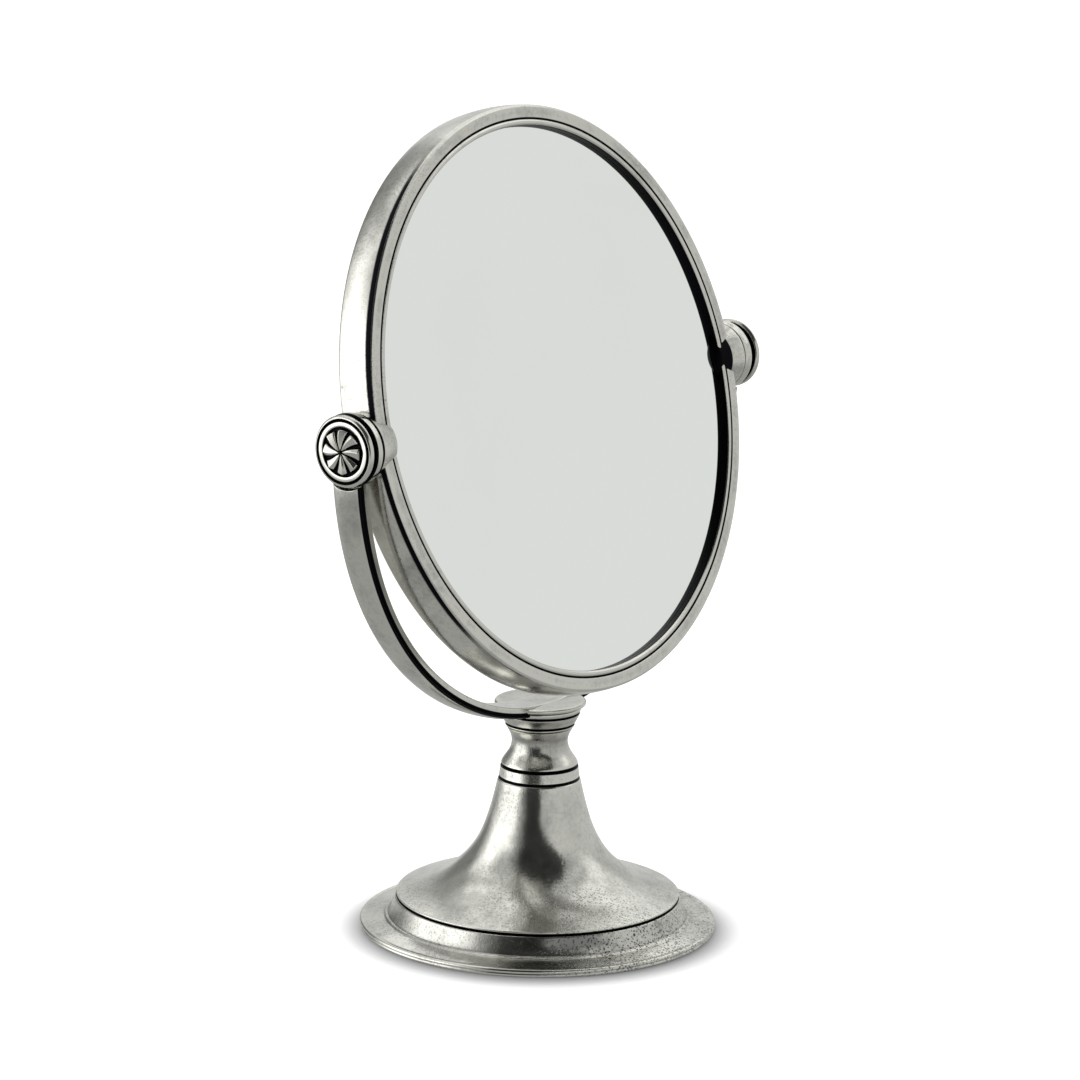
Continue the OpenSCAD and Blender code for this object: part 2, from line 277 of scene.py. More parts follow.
@dataclass(frozen=True)
class Pewter:
    """Hand-finished pewter: satin metal with turning lines, pits, patina in its hollows, and painted shade.

    Reads three mesh attributes, which every surface in this file carries: one for patina in
    its hollows and for painted shade, one for where it is worn, and the lay. One side of the
    foot was cast coarser than the rest: flare_coarse and wall_coarse say how much, on the bell
    and on the low wall under it. That wall's front, on the side that faces the camera, carries
    a painted dark reflection.
    """

    name: str
    metal: Colour = (0.64, 0.63, 0.59)
    shade: Colour = (0.23, 0.225, 0.22)
    patina_and_shade_tone: Colour = (0.005, 0.005, 0.007)
    roughness: float = 0.19
    pitting: float = 1.0
    turning: float = 0.5
    mottling: float = 0.62
    coarse_side: tuple[float, float, float] = (0.594, -0.805, 0.0)
    front: tuple[float, float, float] = (-0.73, -0.68, 0.0)
    flare_coarse: float = 0.2
    wall_coarse: float = 0.5
    # how far the painted dark reflection darkens the foot's low wall
    painted_reflection_depth: float = 0.9
    pit_cells: float = 1250.0
    scar_cells: float = 190.0

    def material(self) -> bpy.types.Material:
        """Builds the material.

        Returns:
            A metal whose colour is darkened by mottling, pits, patina and painted shade, whose
            roughness follows them, and whose two bumps hold the slow waves of hand finishing and, on
            top of them, turning lines, pits and a fine cast grain. A painted dark reflection darkens
            the front of the foot's low wall as well.
        """
        material, g = new_material(self.name)
        place = g.places()
        hollow = g.attribute("hollow")
        worn = g.attribute("worn")
        lay = g.attribute("lay", "Vector")

        mottle = g.noise(place, 42.0, 5.0, 0.6)
        smudge = g.noise(g.stretch(place, (1.0, 1.0, 1.0), (0.31, 0.17, 0.05)), 120.0, 4.0, 0.6)
        grain = g.noise(place, 1100.0, 3.0, 0.65)
        speckle = g.noise(g.stretch(place, (1.0, 1.0, 1.0), (0.7, 0.2, 0.9)), 640.0, 2.0, 0.6)
        lines = g.noise(g.stretch(lay, (9.0, 9.0, 1700.0)), 1.0, 3.0, 0.7)
        swell = g.noise(g.stretch(place, (1.0, 1.0, 0.7), (0.1, 0.4, 0.2)), 46.0, 1.5, 0.5)

        # one side of the foot was cast coarser than the rest; lengths here are in metres
        across, ahead = g.dot(place, self.coarse_side), g.dot(place, self.front)
        height = g.add("ShaderNodeSeparateXYZ", {}, {"Vector": place}, out="Z")
        flare, wall = height.ramp(0.075, 0.055), height.ramp(0.013, 0.0112)
        rough_side = across.ramp(0.002, 0.026) * (flare * self.flare_coarse + wall * self.wall_coarse)

        # a painted dark reflection on the foot's low wall, ahead of the coarse side, on the side that faces
        # the camera
        painted_reflection = across.ramp(-0.012, 0.0) * across.ramp(0.032, 0.016) * ahead.ramp(0.02, 0.04)
        painted_reflection = painted_reflection * height.ramp(0.0117, 0.011) * height.ramp(0.005, 0.0075)

        # pits: small dark dots at strewn points, crowded where the casting is coarse
        coarse = g.noise(g.stretch(place, (1.0, 1.0, 1.0), (0.23, 0.61, 0.4)), 21.0, 2.0, 0.5)
        coarse = coarse.ramp(0.46, 0.68)
        coarse = (coarse * (0.2 + height.ramp(0.1, 0.07) * 0.2) + rough_side).capped()
        small = g.dots(place, self.pit_cells, (0.52, 0.34), (0.4, 0.6))
        large = g.dots(place, self.scar_cells, (0.15, 0.07), (0.78, 0.88))
        pits = (small * coarse * 0.85 + large * (coarse * 0.7 + 0.3)) * self.pitting

        # patina in hollows and painted shade where a piece marks it both fade to the darkest tone
        dark = hollow.ramp(0.2, 0.7)
        cloud = mottle.ramp(0.42, 0.66) * 0.5 + smudge.ramp(0.46, 0.68) * 0.34
        cloud = cloud + speckle.ramp(0.42, 0.7) * (coarse * 0.5 + 0.22) + hollow * 0.5
        # mottling and wear belong to the metal, the mask above adds patina and painted shade, and the painted
        # dark reflection is added here
        dulled = cloud * self.mottling - worn * 0.25 + painted_reflection * self.painted_reflection_depth
        tone = g.blend(dulled.capped(), self.metal, self.shade)
        tone = g.blend((dark + pits * 0.85).capped(), tone, self.patina_and_shade_tone)

        rough = mottle * 0.12 + smudge * 0.10 + coarse * 0.10 + dark * 0.3 + pits * 0.3
        rough = rough + (self.roughness - 0.14)
        waves = g.bump(swell, 0.0007)
        relief_height = lines * (0.4 * self.turning) + grain * 0.5 + speckle * 0.5 - pits * 2.0
        g.surface(
            Base_Color=tone, Metallic=1.0, Roughness=rough.capped(),
            Normal=g.bump(relief_height, 0.00004, waves),
        )
        return material


@dataclass(frozen=True)
class Silvering:
    """Flat mirror glass: almost perfect reflection with a few specks and wiping marks."""

    name: str = "silvered_glass"
    silver: Colour = (0.94, 0.955, 0.935)
    speck: Colour = (0.30, 0.31, 0.30)
    speck_cells: float = 70.0

    def material(self) -> bpy.types.Material:
        """Builds a clear metal reflection with sparse specks and a faintly uneven gloss."""
        material, g = new_material(self.name)
        place = g.places()
        specks = g.dots(place, self.speck_cells, (0.042, 0.018), (0.74, 0.8))
        wiped = g.noise(g.stretch(place, (14.0, 30.0, 9.0)), 1.0, 4.0, 0.6)
        haze = wiped.ramp(0.4, 0.8)
        tone = g.blend((specks + haze * 0.03).capped(), self.silver, self.speck)
        g.surface(Base_Color=tone, Metallic=1.0, Roughness=haze * 0.02 + specks * 0.3 + 0.01)
        return material


@dataclass(frozen=True)
class PlainMetal:
    """Machined or cast working metal, for rods, nuts, screws, bushes and ballast."""

    name: str
    light: Colour
    dark: Colour
    roughness: float = 0.35
    grain: float = 700.0

    def material(self) -> bpy.types.Material:
        """Builds a metal with fine grain, oily mottling and a slight bump."""
        material, g = new_material(self.name)
        place = g.places()
        grain = g.noise(place, self.grain, 3.0, 0.6)
        mottle = g.noise(place, 90.0, 4.0, 0.6)
        tone = g.blend((mottle.ramp(0.3, 0.75) * 0.7 + grain * 0.3).capped(), self.light, self.dark)
        g.surface(
            Base_Color=tone, Metallic=1.0, Roughness=grain * 0.16 + mottle * 0.12 + (self.roughness - 0.1),
            Normal=g.bump(grain + mottle * 0.5, 0.00003),
        )
        return material


@dataclass(frozen=True)
class Felt:
    """Pressed wool felt: matted fibres, no weave."""

    name: str = "green_felt"
    light: Colour = (0.055, 0.105, 0.062)
    dark: Colour = (0.018, 0.038, 0.022)

    def material(self) -> bpy.types.Material:
        """Builds matted fibres from two stretched noises laid across each other."""
        material, g = new_material(self.name)
        place = g.places()
        one = g.noise(g.stretch(place, (2600.0, 420.0, 900.0)), 1.0, 4.0, 0.7)
        two = g.noise(g.stretch(place, (460.0, 2400.0, 900.0), (3.0, 5.0, 1.0)), 1.0, 4.0, 0.7)
        fibres = one.over(two)
        tufts = g.noise(place, 120.0, 3.0, 0.6)
        tone = g.blend((fibres * 0.8 + tufts * 0.3).capped(), self.dark, self.light)
        g.surface(
            Base_Color=tone, Roughness=0.95, Sheen_Weight=0.35,
            Normal=g.bump(fibres + tufts * 0.4, 0.0002),
        )
        return material


@dataclass(frozen=True)
class Fibre:
    """A fibrous sheet, for the hardboard backing and the leather washers."""

    name: str
    light: Colour
    dark: Colour
    roughness: float = 0.7

    def material(self) -> bpy.types.Material:
        """Builds short fibres in a mottled ground."""
        material, g = new_material(self.name)
        place = g.places()
        fibres = g.noise(g.stretch(place, (900.0, 300.0, 900.0)), 1.0, 5.0, 0.7)
        ground = g.noise(place, 160.0, 4.0, 0.6)
        tone = g.blend((fibres * 0.6 + ground * 0.5).capped(), self.light, self.dark)
        rough = ground * 0.2 + (self.roughness - 0.1)
        g.surface(Base_Color=tone, Roughness=rough, Normal=g.bump(fibres, 0.0001))
        return material


@dataclass(frozen=True)
class StudioFloor:
    """Plain white paper sweep, with a painted contact shadow where the foot meets it.

    The painted shadow is a ring about middle: it starts inside the foot's radius and fades over its reach.
    """

    name: str = "white_sweep"
    paper: Colour = (0.9, 0.9, 0.9)
    shaded: Colour = (0.30, 0.30, 0.31)
    lift: float = 0.45
    middle: tuple[float, float, float] = (-0.0035, -0.0028, 0.0)
    foot: float = 0.0655
    reach: float = 0.013

    def material(self) -> bpy.types.Material:
        """Builds matt paper with a faint fibre and a darker ring round the foot: a painted contact shadow,
        which also dims the paper's glow.
        """
        material, g = new_material(self.name)
        place = g.places()
        fibre = g.noise(place, 700.0, 3.0, 0.6)
        shift = tuple(-part for part in self.middle)
        moved = g.stretch(place, (1.0, 1.0, 0.0), shift)
        away = g.add("ShaderNodeVectorMath", {"operation": "LENGTH"}, {0: moved}, out="Value")
        # painted contact shadow round the foot: it darkens the paper and turns its glow off
        shade = away.ramp(self.foot + self.reach, self.foot - 0.004)
        tone = g.blend(fibre * 0.04, self.paper, (0.85, 0.85, 0.85))
        glow = g.blend(shade, (1.0, 1.0, 1.0), (0.0, 0.0, 0.0))
        g.surface(
            Base_Color=g.blend(shade * 0.8, tone, self.shaded), Roughness=0.9,
            Emission_Color=glow, Emission_Strength=self.lift,
        )
        return material


# Outlines and surfaces


@dataclass(frozen=True)
class Axes:
    """A right-handed set of axes in the CAD's frame; its origin is in millimetres."""

    origin: Array
    x: Array
    y: Array
    z: Array

    def place(self, x: Array, y: Array, z: Array) -> Array:
        """Points of the CAD's frame in metres, for local coordinates in millimetres."""
        local = x[..., None] * self.x + y[..., None] * self.y + z[..., None] * self.z
        return (self.origin + local) * MM


# the stand's axes, up from the middle of the foot's underside
UPRIGHT = Axes(np.zeros(3), np.array([1.0, 0, 0]), np.array([0, 1.0, 0]), np.array([0, 0, 1.0]))


def arc(centre: tuple[float, float], radius: float, start: float, end: float, steps: int = 12) -> Array:
    """Points of an arc: centre plus radius times the cosine and sine of angles in degrees."""
    a = np.radians(np.linspace(start, end, steps))
    return np.column_stack([centre[0] + radius * np.cos(a), centre[1] + radius * np.sin(a)])


def bezier(*points: tuple[float, float], steps: int = 60) -> Array:
    """Points of a cubic Bezier curve: its four points weighted by (1-t)^3, 3t(1-t)^2, 3t^2(1-t), t^3.

    Args:
        points: The curve's four points.
        steps: How many points to give.

    Returns:
        Points at even steps of t from 0 to 1.
    """
    t = np.linspace(0, 1, steps)[:, None]
    p = np.array(points, float)
    return (1 - t) ** 3 * p[0] + 3 * t * (1 - t) ** 2 * p[1] + 3 * t**2 * (1 - t) * p[2] + t**3 * p[3]


def smoothstep(values: Array, low: float, high: float) -> Array:
    """0 below low, 1 above high, and 3t^2 - 2t^3 between."""
    t = np.clip((values - low) / (high - low), 0, 1)
    return t * t * (3 - 2 * t)


def softened(points: Array, sigma: float, closed: bool) -> Array:
    """A polyline averaged with a bell curve.

    Args:
        points: Its evenly spaced points.
        sigma: Half the bell curve's width, in points.
        closed: Whether it is a ring; an open line keeps its ends.

    Returns:
        The averaged points.
    """
    reach = int(4 * sigma) + 1
    weights = np.exp(-0.5 * (np.arange(-reach, reach + 1) / sigma) ** 2)
    how = {"mode": "wrap"} if closed else {"mode": "reflect", "reflect_type": "odd"}
    padded = np.pad(points, ((reach, reach), (0, 0)), **how)
    columns = [np.convolve(padded[:, i], weights / weights.sum(), "valid") for i in range(2)]
    return np.column_stack(columns)


@dataclass
class Outline:
    """A section's outline with the softness of cast and hand-finished metal.

    The outline is cut into short steps and averaged with a narrow bell curve, which rounds every
    edge. A wider one marks what lies below it as hollow, for patina, and what stands above it as
    worn. Whatever lies within the third number of a dark spot's first two is darkened as well:
    some spots are patina in grooves and joints, others are painted shade under the knobs and in
    the gap at the right eye, and a painted dark reflection on the right boss's tip.
    """

    points: Array
    closed: bool
    edge: float = 0.16
    wide_edge: float = 0.9
    step: float = 0.06
    turn: float = 7.0
    reach: float = 1.8
    sinking: float = 0.16
    dark: Sequence[tuple[float, float, float]] = ()
    u: Array = field(init=False)
    v: Array = field(init=False)
    along: Array = field(init=False)
    hollow: Array = field(init=False)
    worn: Array = field(init=False)

    def __post_init__(self) -> None:
        """Works out the rounded stations and, at each, how much patina and painted shade darken it and how
        worn it is.
        """
        raw = np.asarray(self.points, float)
        line = np.vstack([raw, raw[:1]]) if self.closed else raw
        length = np.r_[0, np.cumsum(np.hypot(*np.diff(line, axis=0).T))]
        count = max(16, int(length[-1] / self.step))
        t = np.linspace(0, length[-1], count, endpoint=not self.closed)
        fine = np.column_stack([np.interp(t, length, line[:, i]) for i in range(2)])
        narrow = softened(fine, self.edge / self.step, self.closed)
        wide = softened(fine, self.wide_edge / self.step, self.closed)

        slope = np.gradient(narrow, axis=0)
        area = np.sum(raw[:, 0] * np.roll(raw[:, 1], -1) - raw[:, 1] * np.roll(raw[:, 0], -1))
        outward = np.column_stack([slope[:, 1], -slope[:, 0]]) * np.sign(area)
        outward /= np.maximum(np.hypot(*outward.T), 1e-9)[:, None]
        sunk = np.sum((wide - narrow) * outward, axis=1)

        hollow = np.clip(sunk / self.sinking, 0, 1)
        for u, v, near in self.dark:
            away = np.hypot(narrow[:, 0] - u, narrow[:, 1] - v)
            hollow = np.maximum(hollow, 1 - smoothstep(away, near * 0.75, near))

        heading = np.unwrap(np.arctan2(slope[:, 1], slope[:, 0]))
        effort = np.abs(np.gradient(heading)) / math.radians(self.turn) + self.step / self.reach
        effort += np.abs(np.gradient(hollow)) * 5
        spent = np.r_[0, np.cumsum(effort[:-1])]
        stations = np.linspace(0, spent[-1], int(spent[-1]) + 2, endpoint=not self.closed)
        rows = (narrow[:, 0], narrow[:, 1], t, hollow, np.clip(-sunk / self.sinking, 0, 1))
        self.u, self.v, self.along, self.hollow, self.worn = (np.interp(stations, spent, row) for row in rows)


@dataclass
class Shell:
    """A grid of points with the attributes that the pewter reads, before it becomes a mesh."""

    points: Array
    hollow: Array
    worn: Array
    lay: Array
    wrap: bool
    caps: bool

    def faces(self) -> tuple[Array, list[list[int]]]:
        """The flattened vertices and the faces.

        Returns:
            Vertices, and faces that join each row to the next, wrap round the columns, and either
            wrap round the rows or close each end with a fan about its middle point.
        """
        rows, cols = self.points.shape[:2]
        index = np.arange(rows * cols).reshape(rows, cols)
        low = index if self.wrap else index[:-1]
        high = np.roll(index, -1, axis=0) if self.wrap else index[1:]
        quads = np.stack([low, np.roll(low, -1, 1), np.roll(high, -1, 1), high], axis=-1).reshape(-1, 4)
        vertices = self.points.reshape(-1, 3)
        made = quads.tolist()
        if self.caps:
            middles = np.stack([self.points[0].mean(0), self.points[-1].mean(0)])
            vertices = np.vstack([vertices, middles])
            first, last = index[0], index[-1]
            start, end = rows * cols, rows * cols + 1
            made += np.column_stack([np.full(cols, start), np.roll(first, -1), first]).tolist()
            made += np.column_stack([np.full(cols, end), last, np.roll(last, -1)]).tolist()
        return vertices, made

    def values(self, name: str) -> Array:
        """One attribute, flattened.

        Args:
            name: The field that holds it.

        Returns:
            A value or row for each vertex, the middles of the ends included.
        """
        grid = getattr(self, name)
        flat = grid.reshape(-1, *grid.shape[2:])
        return np.concatenate([flat, grid[:1, 0], grid[-1:, 0]]) if self.caps else flat


def signed_volume(vertices: Array, faces: list[list[int]]) -> float:
    """Volume of a closed mesh: a sixth of the sum of each corner's dot with its fan's cross products.

    Args:
        vertices: The mesh's points.
        faces: Its triangles and quads.

    Returns:
        The volume, which is negative when the mesh is inside out.
    """
    quads = np.array([f if len(f) == 4 else [*f, f[-1]] for f in faces])
    a, b, c, d = (vertices[quads[:, i]] for i in range(4))
    return float(np.sum(np.cross(a, b) * c) + np.sum(np.cross(a, c) * d)) / 6


def make_piece(name: str, shells: Sequence[Shell], material: bpy.types.Material) -> bpy.types.Object:
    """Puts closed shells into one mesh object.

    Args:
        name: The piece's name.
        shells: The grids that it is made of.
        material: Its finish.

    Returns:
        The object, smooth shaded, with every shell's faces turned outwards.
    """
    vertices, faces, start = [], [], 0
    for shell in shells:
        points, made = shell.faces()
        if signed_volume(points - points.mean(0), made) < 0:
            made = [face[::-1] for face in made]
        faces += [[i + start for i in face] for face in made]
        vertices.append(points)
        start += len(points)
    mesh = bpy.data.meshes.new(name)
    mesh.from_pydata(np.vstack(vertices).tolist(), [], faces)
    for key in ("hollow", "worn"):
        values = np.concatenate([shell.values(key) for shell in shells]).astype(np.float32)
        mesh.attributes.new(key, "FLOAT", "POINT").data.foreach_set("value", values)
    lay = np.concatenate([shell.values("lay") for shell in shells]).astype(np.float32)
    mesh.attributes.new("lay", "FLOAT_VECTOR", "POINT").data.foreach_set("vector", lay.ravel())
    mesh.polygons.foreach_set("use_smooth", np.ones(len(mesh.polygons), bool))
    mesh.materials.append(material)
    mesh.update()
    piece = bpy.data.objects.new(name, mesh)
    bpy.context.scene.collection.objects.link(piece)
    return piece


def hand_worked(angle: Array, along: Array, depth: float, seed: int) -> Array:
    """Shallow unevenness of hand-finished metal.

    The sum of eight waves, each a sine of a whole number of turns round the piece plus a slower
    wave along it, scaled so that it never stands above zero.

    Args:
        angle: Angle round the piece, in radians.
        along: Distance along its section, in millimetres.
        depth: Greatest depth, in millimetres.
        seed: Chooses the waves.

    Returns:
        Offsets between minus depth and 0, in millimetres.
    """
    draw = np.random.default_rng(seed)
    total = np.zeros(np.broadcast(angle, along).shape)
    for turns in (2, 3, 4, 5, 7, 9, 12, 15):
        slow, phase = draw.uniform(-0.22, 0.22), draw.uniform(0, 2 * math.pi)
        total += np.sin(turns * angle + slow * along * (1 + turns / 5) + phase) / math.sqrt(turns)
    return (total / 4 - 1).clip(-2, 0) * depth / 2


def turned(outline: Outline, axes: Axes, segments: int = 288, depth: float = 0.0, seed: int = 1,
           shape: Callable[[Array, Array, Array], tuple[Array, Array, Array]] | None = None) -> Shell:
    """A surface of revolution: each station (u, v) becomes u cos a, u sin a, v.

    Args:
        outline: Stations as radius and height. A closed outline makes a ring; an open one runs
            from axis to axis.
        axes: Where the axis of revolution lies.
        segments: Steps round the axis.
        depth: Depth of the hand-worked unevenness, in millimetres.
        seed: Chooses that unevenness.
        shape: Changes the local x, y and z before they are placed.

    Returns:
        The shell, whose lay runs round the axis.
    """
    angle = np.linspace(0, 2 * math.pi, segments, endpoint=False)[None, :]
    along = outline.along[:, None]
    radius = outline.u[:, None] + hand_worked(angle, along, depth, seed) * (outline.u[:, None] > 1)
    radius = np.maximum(radius, 0) if outline.closed else np.maximum(radius, 1e-4)
    x, y = radius * np.cos(angle), radius * np.sin(angle)
    z = np.broadcast_to(outline.v[:, None], x.shape)
    if shape:
        x, y, z = shape(x, y, z)
    rows = (angle, along, outline.hollow[:, None], outline.worn[:, None])
    ring, run, hollow, worn = np.broadcast_arrays(*rows)
    lay = np.stack([np.cos(ring) * 0.02, np.sin(ring) * 0.02, run * MM], axis=-1)
    return Shell(axes.place(x, y, z), hollow, worn, lay, wrap=outline.closed, caps=not outline.closed)


def carried(outline: Outline, axes: Axes, angles: Array,
            trim: Callable[[Array, Array, Array], Array]) -> Shell:
    """A section carried along an arc about the axes' z: station (u, v) becomes u cos a, u sin a, v.

    Args:
        outline: The closed section as radius and height.
        axes: The arc lies in their x-y plane.
        angles: The arc's angles, in radians.
        trim: Gives the radius from the radius, the angle and the height, such as to thin the ends.

    Returns:
        The shell with both ends closed, whose lay runs along the arc.
    """
    a = angles[:, None]
    u = trim(outline.u[None, :], a, outline.v[None, :])
    x, y = u * np.cos(a), u * np.sin(a)
    rows = (a, outline.v[None, :], outline.along[None, :], outline.hollow[None, :], outline.worn[None, :])
    ring, z, run, hollow, worn = np.broadcast_arrays(*rows)
    lay = np.stack([ring * 0.1, np.zeros(x.shape), run * MM], axis=-1)
    return Shell(axes.place(x, y, z), hollow, worn, lay, wrap=False, caps=True)


def relief(radius: float, base: float, height: Callable[[Array, Array], tuple[Array, Array]], axes: Axes,
           rings: int = 60, segments: int = 192) -> Shell:
    """A carved face on a round disc.

    The grid runs from the middle out over z = height(distance, angle), down the rim, and back to
    the middle across the flat base.

    Args:
        radius: The disc's radius, in millimetres.
        base: Height of its flat underside.
        height: Gives each point's height, and how hollow it is.
        axes: The disc faces their z.
        rings: Steps from middle to rim.
        segments: Steps round.

    Returns:
        The closed shell.
    """
    angle = np.linspace(0, 2 * math.pi, segments, endpoint=False)[None, :]
    out = np.r_[1e-4, np.linspace(0, 1, rings)[1:] * radius]
    distance = np.r_[out, radius, radius, 1e-4][:, None]
    top, hollow = height(distance, angle)
    flat = np.arange(len(distance))[:, None] >= rings + 1
    z = np.where(flat, base, top)
    x, y = distance * np.cos(angle), distance * np.sin(angle)
    sunk = np.where(flat, 0.0, hollow)
    lay = np.stack([x * MM, y * MM, z * MM * 0.2], axis=-1)
    return Shell(axes.place(x, y, z), sunk, np.zeros(x.shape), lay, wrap=False, caps=True)


def show(piece: bpy.types.Object, body: Body, node: str) -> None:
    """Hangs a finished piece on its body, in place of a CAD node.

    Args:
        piece: The finished piece.
        body: The body that it rides on.
        node: The CAD node that it stands for.
    """
    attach(piece, body.value)
    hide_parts(node)
    log.info("%s: %d faces on %s", piece.name, len(piece.data.polygons), body.value)


# Sub-assemblies


@dataclass
class Foot:
    """The weighted foot: base flange and bell."""

    rim_r: float = 66.5
    tier_r: float = 52.9
    seam_z: float = 11.5
    bell_top: float = 57.2
    bell_top_r: float = 15.4
    wall: float = 2.6
    bore_r: float = 4.3
    inner_r: float = 51.0
    felt_r: float = 58.2
    plate_top: float = 2.0
    seam: float = 0.9

    def flange_outline(self) -> Array:
        """Rim lip, flat, small bead and hollow wall, closed by the ledge and the inner wall."""
        rim, wall_r = self.rim_r, self.tier_r + 0.4
        top = (wall_r, self.seam_z - 0.6)
        wall = bezier((rim - 10.6, 4.4), (wall_r + 1.5, 6.2), (wall_r + 0.7, 8.4), top)
        return np.vstack([
            [[self.felt_r, 0.0]],
            [[rim - 0.6, 0.0], [rim - 0.2, 0.3], [rim - 0.15, 0.85], [rim - 0.5, 1.15]],
            arc((rim - 0.95, 1.75), 0.9, -30, 100, 10),
            [[rim - 2.0, 2.45], [rim - 2.6, 2.5], [rim - 9.2, 3.75]],
            [[rim - 9.6, 4.2], [rim - 10.2, 4.4]],
            wall[1:],
            [[self.tier_r - self.seam, self.seam_z], [self.inner_r, self.seam_z]],
            [[self.inner_r + 0.2, 8], [self.inner_r + 1.5, 4.6], [self.inner_r + 4, self.plate_top]],
            [[self.felt_r, self.plate_top]],
        ])

    def trumpet(self, shift: float, low: float) -> Array:
        """The bell's curve from its top out to the tier.

        Args:
            shift: How far the curve lies inside the casting's outer face, in millimetres.
            low: Height of its lower end.

        Returns:
            Points as radius and height.
        """
        start, end = (self.bell_top_r - shift, self.bell_top), (self.tier_r - shift, low)
        return bezier(start, (19.4 - shift, 38.5), (22.9 - shift, low + 7.2), end)

    def bell_outline(self) -> Array:
        """Trumpet curve down to the tier's edge, then back up inside the casting."""
        inside = self.trumpet(self.wall, self.seam_z - 0.8)[::-1]
        kept = inside[(inside[:, 1] > self.seam_z) & (inside[:, 1] < self.bell_top - 6)]
        return np.vstack([
            [[self.bore_r, self.bell_top], [self.bell_top_r - 0.5, self.bell_top]],
            self.trumpet(0, self.seam_z + 1.1)[1:],
            [[self.tier_r, self.seam_z + 0.5], [self.tier_r - self.seam, self.seam_z]],
            [[self.inner_r - 0.6, self.seam_z]],
            kept,
            [[self.bore_r, self.bell_top - 6]],
        ])

    def build(self, pewter: bpy.types.Material) -> None:
        """Builds the flange and the bell.

        Args:
            pewter: Their finish.
        """
        seam = [(self.tier_r - self.seam, self.seam_z, 1.15)]
        section = Outline(self.flange_outline(), True, edge=0.2, sinking=0.5, dark=seam)
        show(make_piece("flange", [turned(section, UPRIGHT, 384, 0.12, 3)], pewter),
             Body.STAND, "base_flange")
        top = (self.bell_top_r - 0.4, self.bell_top, 0.7)
        section = Outline(self.bell_outline(), True, reach=1.2, dark=[*seam, top])
        show(make_piece("bell", [turned(section, UPRIGHT, 320, 0.28, 11)], pewter),
             Body.STAND, "foot_bell")


@dataclass
class Neck:
    """The turned neck, its collar of rings and the round pad on top."""

    bottom: float = 57.2
    band_top: float = 61.9
    waist_r: float = 10.5
    waist_z: float = 70.8
    collar_z: float = 76.5
    collar_top: float = 84.7
    collar_r: float = 15.3
    pad_r: float = 17.1
    pad_top: float = 86.58
    foot_r: float = 15.3
    band_r: float = 14.3
    mouth_r: float = 12.3
    bore_r: float = 4.3
    groove: float = 0.75

    def neck_outline(self) -> Array:
        """Grooved band, then a spool that narrows to the waist and opens again."""
        waist, band, mouth = (self.waist_r, self.waist_z), self.band_top, (self.mouth_r, self.collar_z - 0.3)
        lower = bezier((self.band_r, band + 1), (13.2, 65.4), (self.waist_r + 0.2, 67), waist)
        upper = bezier(waist, (self.waist_r, 73.4), (11.3, 74.3), mouth)
        return np.vstack([
            [[self.bore_r, self.bottom], [self.foot_r - self.groove, self.bottom]],
            [[15.05, self.bottom + 0.35], [14.55, band - 0.4]],
            [[self.band_r - self.groove, band], [14.35, band + 0.45]],
            lower, upper[1:],
            [[self.mouth_r - self.groove, self.collar_z], [self.bore_r, self.collar_z]],
        ])

    def collar_outline(self) -> Array:
        """Three stacked rings with a cut groove between each pair."""
        top = self.collar_top
        return np.array([
            [self.bore_r, self.collar_z], [12.2 - self.groove, self.collar_z], [12.9, self.collar_z + 0.5],
            [13.0, 77.5], [12.9 - self.groove, 78.0], [13.3, 78.5],
            [14.2, 80.2], [14.9, 81.8], [14.7 - self.groove, 82.3], [15.1, 82.8],
            [self.collar_r, 83.5], [self.collar_r, top - 0.4], [self.collar_r - self.groove, top],
            [self.bore_r, top],
        ])

    def pad_outline(self) -> Array:
        """A flat disc with rounded edges, from axis to axis."""
        low, high, r = self.collar_top, self.pad_top, self.pad_r
        return np.array([[0, low], [r - 0.9, low], [r - 0.1, low + 0.5], [r, low + 1.2],
                         [r - 0.15, high - 0.35], [r - 0.6, high], [0, high]])

    def build(self, pewter: bpy.types.Material) -> None:
        """Builds the neck, the collar and the pad.

        Args:
            pewter: Their finish.
        """
        marks = [(15.2, self.bottom, 0.75), (14.2, self.band_top, 0.85)]
        spool = turned(Outline(self.neck_outline(), True, dark=marks), UPRIGHT, 224, 0.12, 21)
        show(make_piece("neck_spool", [spool], pewter), Body.STAND, "neck")
        marks = [(12.7, 78.0, 0.65), (14.6, 82.3, 0.65), (self.collar_r - 0.3, self.collar_top, 0.65)]
        rings = turned(Outline(self.collar_outline(), True, dark=marks), UPRIGHT, 224, 0.08, 22)
        show(make_piece("collar_rings", [rings], pewter), Body.STAND, "neck_collar")
        pad = turned(Outline(self.pad_outline(), False), UPRIGHT, 192, 0.06, 23)
        show(make_piece("pad", [pad], pewter), Body.STAND, "yoke_pad")


